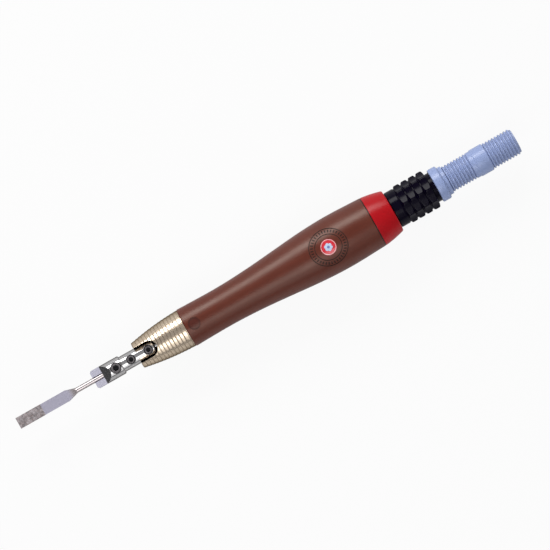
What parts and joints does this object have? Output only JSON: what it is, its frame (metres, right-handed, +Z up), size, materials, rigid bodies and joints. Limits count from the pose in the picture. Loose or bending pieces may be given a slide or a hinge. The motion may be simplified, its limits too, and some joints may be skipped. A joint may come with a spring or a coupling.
{
  "type": "air file",
  "caption": "Hand-held pneumatic file: flat gritted file in a clamped holder, ringed nose cone, waisted brown grip, red rear cap, black throttle ring and ribbed exhaust hose.",
  "frame": {"origin": "on the tool axis, in the plane where the nose cone meets the grip", "axes": "+X along the tool axis from the file to the hose, +Z up, on the side of the clamp screws and the key slot"},
  "size_m": [0.2517, 0.025, 0.0251],
  "materials": {
    "file_steel": "satin nickel plate, gritted at the tip",
    "polished_steel": "polished",
    "black_steel": "black oxide",
    "nose_metal": "warm nickel plate",
    "felt": "felt",
    "bronze": "machined",
    "spring_steel": "drawn wire",
    "aluminium": "machined",
    "cage_plastic": "moulded",
    "brown_grip": "satin moulded grip",
    "badge": "gloss inlay",
    "red_cap": "gloss",
    "seal_rubber": "moulded",
    "black_plastic": "satin moulded",
    "hose_plastic": "flexible moulded"
  },
  "bodies": {
    "handpiece": {"nose_cone": "nose_metal", "wiper_ring": "felt", "front_bush": "bronze", "return_spring": "spring_steel", "body_tube": "aluminium", "front_bearing_outer_ring": "polished_steel", "rear_bearing_outer_ring": "polished_steel", "motor_housing": "aluminium", "nozzle_ring": "bronze", "wave_washer": "spring_steel", "bearing_retainer": "aluminium", "spacer_tube": "aluminium", "grip": "brown_grip", "badge_disc": "badge", "rear_cap": "red_cap", "inlet_stem": "bronze", "stem_o_rings": "seal_rubber", "hose_adapter": "black_plastic", "hose_cuff": "hose_plastic", "exhaust_hose": "hose_plastic", "air_nipple": "bronze"},
    "plunger": {"plunger": "polished_steel", "guide_pin": "polished_steel", "follower_ball": "polished_steel", "file_holder": "polished_steel", "file_clamp_screw": "black_steel", "plunger_clamp_screws": "black_steel", "file": "file_steel"},
    "rotor": {"rotor_shaft": "polished_steel", "swash_cam": "polished_steel", "turbine_wheel": "aluminium", "front_bearing_inner_ring": "polished_steel", "rear_bearing_inner_ring": "polished_steel"},
    "ball_cages": {"front_bearing_balls": "polished_steel", "front_bearing_cage": "cage_plastic", "rear_bearing_balls": "polished_steel", "rear_bearing_cage": "cage_plastic"},
    "throttle": {"throttle_ring": "black_plastic", "valve_sleeve": "bronze"}
  },
  "joints": [
    {"name": "plunger_stroke", "type": "slide", "parent": "handpiece", "child": "plunger", "axis": [-1, 0, 0], "range_m": [0, 0.0007], "stiffness_N_per_m": 2000, "springref_m": -0.003, "deforming": ["return_spring"]},
    {"name": "rotor_spin", "type": "hinge", "parent": "handpiece", "child": "rotor", "pos_m": [0, 0, 0], "axis": [1, 0, 0], "continuous": true},
    {"name": "ball_cage_spin", "type": "hinge", "parent": "handpiece", "child": "ball_cages", "pos_m": [0, 0, 0], "axis": [1, 0, 0], "continuous": true},
    {"name": "throttle_turn", "type": "hinge", "parent": "handpiece", "child": "throttle", "pos_m": [0.1143, 0, 0], "axis": [1, 0, 0], "range_deg": [0, 90]}
  ],
  "couplings": [
    {"joint": "ball_cage_spin", "follows": "rotor_spin", "ratio": 0.3588}
  ]
}
